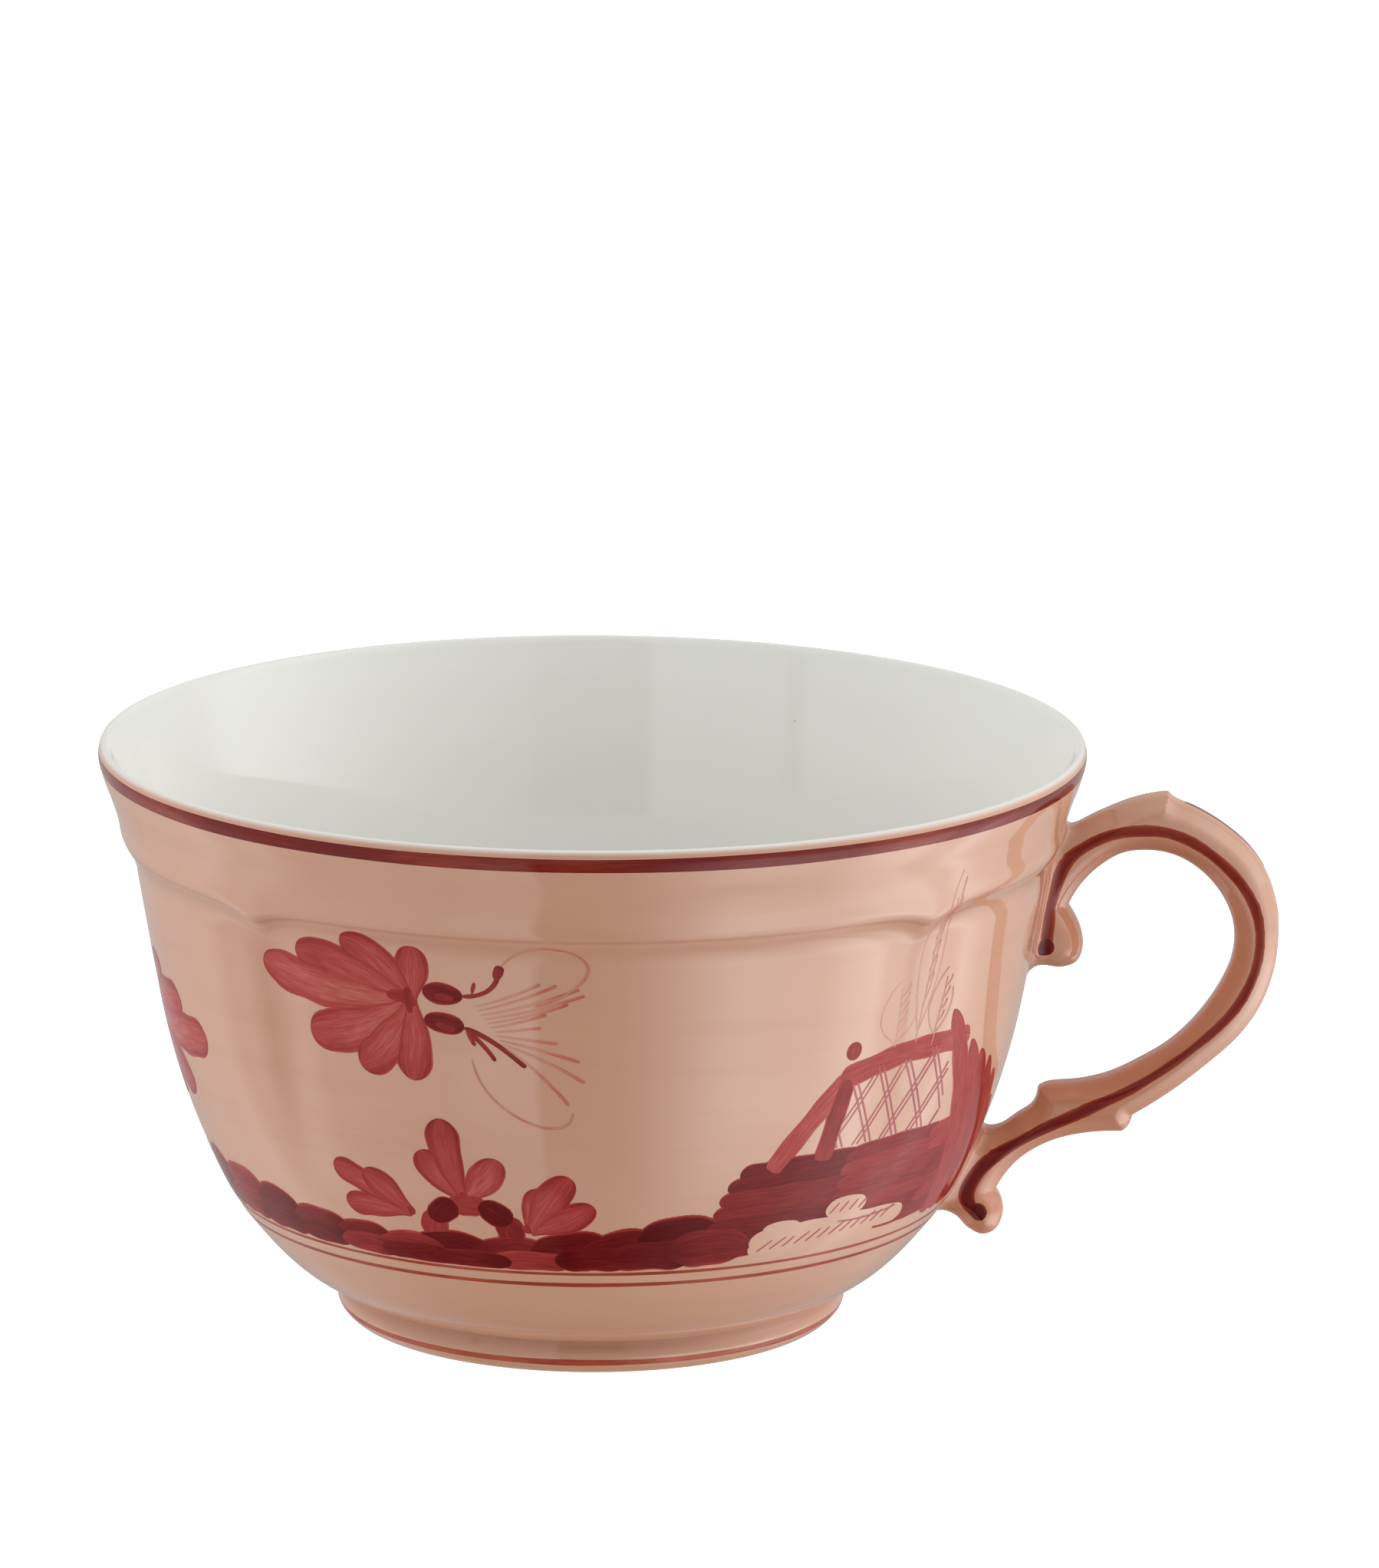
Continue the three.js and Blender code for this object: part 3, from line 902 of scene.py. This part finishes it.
def reserve(glaze_coat, coat, place):
    """A pale rock left clear in the bank, hatched with short slanting strokes."""
    for spine, width in (
        ([(-8.4, 0.5), (-4, 1.2), (3, 1.3), (8, 1.0), (11, 0.7)], 3.0),
        ([(-8.4, -0.2), (0, 0), (7, -0.1)], 2.2),
        ([(-0.4, 2.9), (1.8, 3.6), (4.4, 3.0)], 2.7),
        ([(-7.2, 1.7), (-5.2, 2.3), (-3.2, 1.9)], 1.7),
    ):
        glaze_coat.stroke(place, spine, width, 0.5, None, 0, 0, 9)
    for number, x in enumerate(np.arange(-7.4, 8, 1.35)):
        reach = 0.8 + 0.25 * math.sin(2.3 * number)
        rise = 0.09 * (x + 7)
        hatch = [(x, rise - 0.5), (x + 0.7, rise + 0.1), (x + 0.7 + reach, rise + 0.5 + reach * 0.4)]
        coat.stroke(place, hatch, 0.36, 0.66, (0.3, 0.6), 0, 0, 5)
    for x in np.arange(0, 3.9, 1.2):
        coat.stroke(place, [(x, 2.9), (x + 0.9, 4.1)], 0.3, 0.7, (0.3, 0.6), 0, 0, 5)
    coat.stroke(place, [(1.4, 1.7), (5, 1.5), (9.4, 1.9)], 0.3, 0.62, (1.5, 1.5), 0, 0, 5)


# Each blade's foot angle, tip angle, tip height and width.
BLADES = [
    (76, 75, 25, 2.6), (74, 71, 28.5, 2.8), (71, 67.5, 30.5, 2.8), (69, 64, 31.8, 2.8),
    (66, 60.5, 33.4, 2.9), (63, 54.9, 37.4, 2.4), (72, 69, 24, 2.6),
]


def grasses(coat):
    """Tall tapering blades at the right of the bank."""
    foot_height, radius = 14.6, 39.52
    for foot, tip, height, width in BLADES:
        place = patch(foot, foot_height)
        rise = wall_length(height) - wall_length(foot_height)
        lean = math.radians(tip - foot) * radius
        spine = [(0, 0), (lean * 0.15, rise * 0.35), (lean * 0.55, rise * 0.72), (lean, rise)]
        coat.stroke(place, spine, width, coat.random.uniform(0.5, 0.66), (0.6, width * 2.4), 0.1, 0.0, 9)


def plume(fine, place, height, width, barbs, tone):
    """A feathery seed head in the thinnest brush: a bent outline, a stem and slanting barbs."""
    for side in (-1, 1):
        spine = [(0, 0), (side * width * 0.5, height * 0.35), (side * width * 0.42, height * 0.7)]
        if side < 0:
            spine.append((-0.1, height))
        fine.stroke(place, spine, 0.22, tone, (2, 3), 0, 0, 5)
    stem = [(0, -1.2), (0.15, height * 0.4), (0, height * 0.86)]
    fine.stroke(place, stem, 0.2, tone, (1.5, 2.5), 0, 0, 5)
    for k in range(barbs):
        y = height * (0.16 + 0.7 * k / barbs)
        barb = [(0, y), (width * 0.2, y + height * 0.1), (width * 0.26, y + height * 0.2)]
        fine.stroke(place, barb, 0.18, tone, (0.6, 0.8), 0, 0, 5)


# Heights of the two fine lines under the painting, and the run of the line down the handle's side.
LINE_HEIGHTS = (12.24, 13.55)
HANDLE_LINE = [
    (45.1, 38.1), (45.6, 42.7), (47, 46.8), (50.4, 49.3), (55.7, 50), (59, 49.1), (62.3, 46.8),
    (64.7, 44.2), (66.2, 41.1), (66.3, 36.9), (64.2, 32.1), (59.6, 27.7), (54.2, 23.9), (49.7, 21.6),
    (44.8, 19.2), (40.9, 17.1), (38.5, 14.9), (37.5, 12.9), (37.7, 11.6), (38.7, 10.4),
]


def ground_top(theta):
    """Height of the ground's commas: they climb toward the bank and swell at the left edge."""
    return 3.8 + 4.4 * max(0, theta + 12) ** 1.5 / 180 + 2.6 * math.exp(-(((theta + 72) / 24) ** 2))


def handle_swell(t):
    """Width of the handle's line along its run: full at its head and its foot, slim between."""
    return 1.25 - 0.3 * smoothstep(t, 0.05, 0.3) + 0.4 * smoothstep(t, 0.6, 0.95)


def paint_cup(outline):
    """All the enamel: lines by the wheel, the scene round the wall and the lines down the handle."""
    lines, scene_coat = Coat("wheel_lines", 3), Coat("enamel_scene", 8)
    fine, rock = Coat("enamel_fine", 5), Coat("rock_glaze", 2)
    band = wall_length(RIM_HEIGHT - 0.65)
    lines.ring(on_wall, band - 0.75, 1.5, 0.29, 0.03)
    for height, width in zip(LINE_HEIGHTS, (0.58, 0.42)):
        lines.ring(on_wall, wall_length(height), width, 0.52, 0.06)
    lines.ring(foot_ring, 1.5, 0.7, 0.6, 0.05)

    blossom(scene_coat, fine, patch(-22.8, 42.1))
    blossom(scene_coat, fine, patch(-87, 32.6, -4, 1.05), -1)
    blossom(scene_coat, fine, patch(-172, 41.5), -1)
    sprig(scene_coat, patch(-26.3, 19.3), [(181, 7.6, 3.1), (151, 9.3, 3.1), (136, 6.4, 3.4)])
    sprig(scene_coat, patch(-8.9, 18.3), [(78, 5.4, 3.0), (28, 7.0, 3.4), (58, 7.7, 3.6)])
    arch(scene_coat, patch(-17.4, 17.7))
    sprig(scene_coat, patch(-17.8, 21.5), [(127, 6.6, 3.4), (54, 6.0, 3.7), (100, 9.1, 3.4)])
    for theta in (-118, -150, -205, -232):
        sprig(scene_coat, patch(theta, 18.6), [(130, 6.3, 3.2), (50, 6.1, 3.3), (91, 8.4, 3.2)])
    ground(scene_coat, -250, 20)
    trellis(scene_coat.begin(8), fine.begin(), patch(35, 25.4))
    bank(scene_coat.begin(), 43)
    reserve(rock.begin(26), fine.begin(33), patch(37, 15.6))
    grasses(scene_coat)
    dot = patch(35.9, 34.7)
    scene_coat.begin().stroke(dot, [(-0.25, 0), (0.2, 1.9)], 1.9, 0.55, (0.9, 0.8), 0.1, 0.1, 9)
    fine.begin()
    plume(fine, patch(43.4, 35.4), 6.6, 5, 5, 0.97)
    plume(fine, patch(47.4, 36, -4), 17.5, 2.6, 7, 1.0)
    plume(fine, patch(50.5, 35.4, -8), 7, 3, 4, 1.0)

    for side in (-1, 1):
        place = on_handle(side, outline)
        lines.begin(2).stroke(place, HANDLE_LINE, 1.2, 0.31, (0.8, 0.8), -0.42, 0.14, 11, handle_swell)
        lines.stroke(place, [(44.7, 37.2), (45.3, 39)], 1.9, 0.02, (0.9, 0.9), -0.4, 0, 9)
        lines.stroke(place, [(38, 11.5), (39.3, 10.1)], 2.0, 0.02, (0.9, 0.9), -0.4, 0, 9)
    crest = on_crest(HANDLE_OUTLINE[1], outline)
    lines.stroke(crest, [(2, 0), (6, -0.1), (12.5, 0)], 1.0, 0.2, (2.5, 5), -0.3, 0, 9)
    return lines, scene_coat, fine, rock


# ---- materials

# Colours are linear, GLOSSY is a roughness, and RIPPLE is the depth of the glaze's waves in metres.
PEACH = (0.57, 0.312, 0.21)
PEACH_PALE = (0.6, 0.35, 0.245)
# The colour of pooled glaze at the ledge and of painted shade on the bowl and foot.
POOL_AND_SHADE = (0.43, 0.19, 0.105)
# Painted shade on the handle.
HANDLE_SHADE = (0.52, 0.18, 0.095)
WHITE = (0.79, 0.785, 0.745)
BARE_CLAY = (0.72, 0.68, 0.6)
STREAK = (0.5, 0.25, 0.15)
SPECK = (0.16, 0.09, 0.05)
GLOSSY = 0.035
RIPPLE = 0.000014


class Shader(Tree):
    """A glossy glaze material and the few nodes that colour it."""

    def __init__(self, name, roughness=GLOSSY, ior=1.52):
        self.material = bpy.data.materials.new(name)
        super().__init__(self.material)
        self.principled = self.nodes["Principled BSDF"]
        self.principled.inputs["Roughness"].default_value = roughness
        self.principled.inputs["IOR"].default_value = ior
        self.position = self.node("ShaderNodeTexCoord", {}).outputs["Object"]
        bump = self.node("ShaderNodeBump", {"Distance": RIPPLE, "Height": self.noise(95, 1.5)})
        self.links.new(bump.outputs[0], self.principled.inputs["Normal"])

    def attribute(self, name, output="Fac"):
        return self.node("ShaderNodeAttribute", {}, attribute_name=name).outputs[output]

    def noise(self, scale, detail, vector=None, stretch=None):
        vector = vector or self.position
        if stretch:
            vector = self.node("ShaderNodeMapping", {"Vector": vector, "Scale": stretch}).outputs[0]
        inputs = {"Scale": scale, "Detail": detail, "Vector": vector}
        return self.node("ShaderNodeTexNoise", inputs).outputs["Fac"]

    def near(self, value, centre, reach, strength):
        """`strength` where the value is at the centre, falling to 0 at `reach` from it."""
        distance = self.math("ABSOLUTE", self.math("SUBTRACT", value, centre))
        return self.ramp(distance, 0, reach, strength, 0)

    def mix(self, factor, first, second):
        """Blends two colours, each of them a socket or three numbers."""
        ends = [end if isinstance(end, bpy.types.NodeSocket) else (*end, 1) for end in (first, second)]
        inputs = {0: factor, 6: ends[0], 7: ends[1]}
        return self.node("ShaderNodeMix", inputs, data_type="RGBA").outputs[2]

    def specks(self, color):
        """Rare pinholes and iron specks in the glaze, two or three tenths of a millimetre across."""
        cells = self.node("ShaderNodeTexVoronoi", {"Scale": 170, "Vector": self.position}).outputs
        dot = self.ramp(cells["Distance"], 0.012, 0.03, 0.45, 0)
        parts = self.node("ShaderNodeSeparateColor", {0: cells["Color"]}).outputs
        rare = self.math("GREATER_THAN", parts[0], 0.86)
        return self.mix(self.math("MULTIPLY", dot, rare), color, SPECK)

    def peach(self):
        """The tinted glaze, slightly uneven, with faint level streaks left by the dipping."""
        cloud = self.ramp(self.noise(60, 2), 0.3, 0.75, 0, 0.55)
        streak = self.ramp(self.noise(40, 3, stretch=(1, 1, 9)), 0.45, 0.8, 0, 0.5)
        color = self.mix(cloud, PEACH, PEACH_PALE)
        return self.mix(streak, color, [0.5 * (a + b) for a, b in zip(PEACH, STREAK)])

    def use(self, color):
        self.links.new(color, self.principled.inputs["Base Color"])
        return self.material


def bowl_material():
    """Peach outside, white inside; glaze pools at the ledge, with painted shade under it, in the valleys
    and low down.
    """
    shader = Shader("bowl_glaze")
    past_lip = shader.attribute("past_lip")
    total = WALL_LENGTH[-1]
    color = shader.peach()
    # The first crease is a line of pooled glaze; the second and third are painted shade under the ledge
    # and above the foot.
    creases = ((LEDGE + 0.1, 0.35, 0.5), (LEDGE - 1.0, 1.6, 0.22), (FOOT_TOP + 0.1, 1.2, 0.7))
    for height, reach, strength in creases:
        crease = shader.near(past_lip, wall_length(height) - total, reach, strength)
        color = shader.mix(crease, color, POOL_AND_SHADE)
    # Painted shade in the valleys between the lobes.
    color = shader.mix(shader.math("MULTIPLY", shader.attribute("painted_shade"), 0.5), color, POOL_AND_SHADE)
    # Painted shade: the lower wall darkens towards the foot.
    low_wall = shader.ramp(past_lip, wall_length(11.5) - total, wall_length(5) - total, 0, 0.3)
    color = shader.mix(low_wall, color, POOL_AND_SHADE)
    color = shader.mix(shader.ramp(past_lip, -0.8, -0.05), color, WHITE)
    return shader.use(shader.specks(color))


def foot_material():
    """Peach darkened by painted shade, most at the crease, with the bearing face left bare."""
    shader = Shader("foot_glaze")
    height = shader.attribute("height")
    # Painted shade: darker over the whole foot, and most at its top by the crease with the bowl.
    color = shader.mix(shader.ramp(height, 2.2, FOOT_TOP, 0.28, 0.7), shader.peach(), POOL_AND_SHADE)
    bare = shader.ramp(height, 0.12, 0.3, 1, 0)
    color = shader.mix(bare, color, BARE_CLAY)
    roughness = shader.math("ADD", shader.math("MULTIPLY", bare, 0.6), GLOSSY)
    shader.links.new(roughness, shader.principled.inputs["Roughness"])
    return shader.use(color)


def handle_material():
    """Peach darkened by painted shade on the inner side of the loop and low down."""
    shader = Shader("handle_glaze")
    return shader.use(shader.mix(shader.attribute("painted_shade"), shader.peach(), HANDLE_SHADE))


def rock_material():
    """The plain peach that shows where the bank is left clear."""
    shader = Shader("rock_glaze")
    return shader.use(shader.peach())


CRIMSON = [
    (0.0, (0.085, 0.0035, 0.004)), (0.2, (0.13, 0.008, 0.008)), (0.4, (0.2, 0.018, 0.016)),
    (0.6, (0.32, 0.037, 0.033)), (0.75, (0.415, 0.064, 0.056)), (0.9, (0.49, 0.14, 0.105)),
    (1.0, (0.55, 0.25, 0.17)),
]
IRON_RED = [
    (0.0, (0.09, 0.005, 0.003)), (0.25, (0.165, 0.0115, 0.008)), (0.55, (0.34, 0.055, 0.026)),
    (0.8, (0.46, 0.13, 0.07)), (1.0, (0.55, 0.26, 0.16)),
]


def enamel_material(name, stops, strength, ior):
    """Enamel from dark pools to thin washes; the grain runs along each stroke like brush hairs."""
    shader = Shader(name, 0.06, ior)
    grain = shader.attribute("grain", "Vector")
    streaks = shader.math("MULTIPLY", shader.math("SUBTRACT", shader.noise(2.2, 4, grain), 0.5), strength)
    total = shader.math("ADD", streaks, shader.attribute("tone"))
    return shader.use(shader.colors(total, stops))


# ---- assembly

scene = bpy.context.scene
scene.view_settings.view_transform = "Standard"
add_camera()
add_world()
add_floor()

bowl = make_bowl(bowl_material())
foot = make_foot(foot_material())
outline = handle_mesh_outline()
handle = make_handle(handle_material(), outline)

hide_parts("bowl")
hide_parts("foot_ring")
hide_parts("handle", "upper_slip_joint", "lower_slip_joint")
lines, scene_coat, fine, rock = paint_cup(outline)
crimson = enamel_material("crimson_enamel", CRIMSON, 0.42, 1.2)
washed = enamel_material("washed_crimson_enamel", CRIMSON, 0.4, 1.42)
iron_red = enamel_material("iron_red_enamel", IRON_RED, 0.3, 1.32)
painted = [lines.finish(iron_red), scene_coat.finish(crimson), fine.finish(washed)]
rock_piece = rock.finish(rock_material())
for piece in (bowl, foot, handle, rock_piece):
    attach(piece, BODY)
for piece in painted:
    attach(piece, BODY)
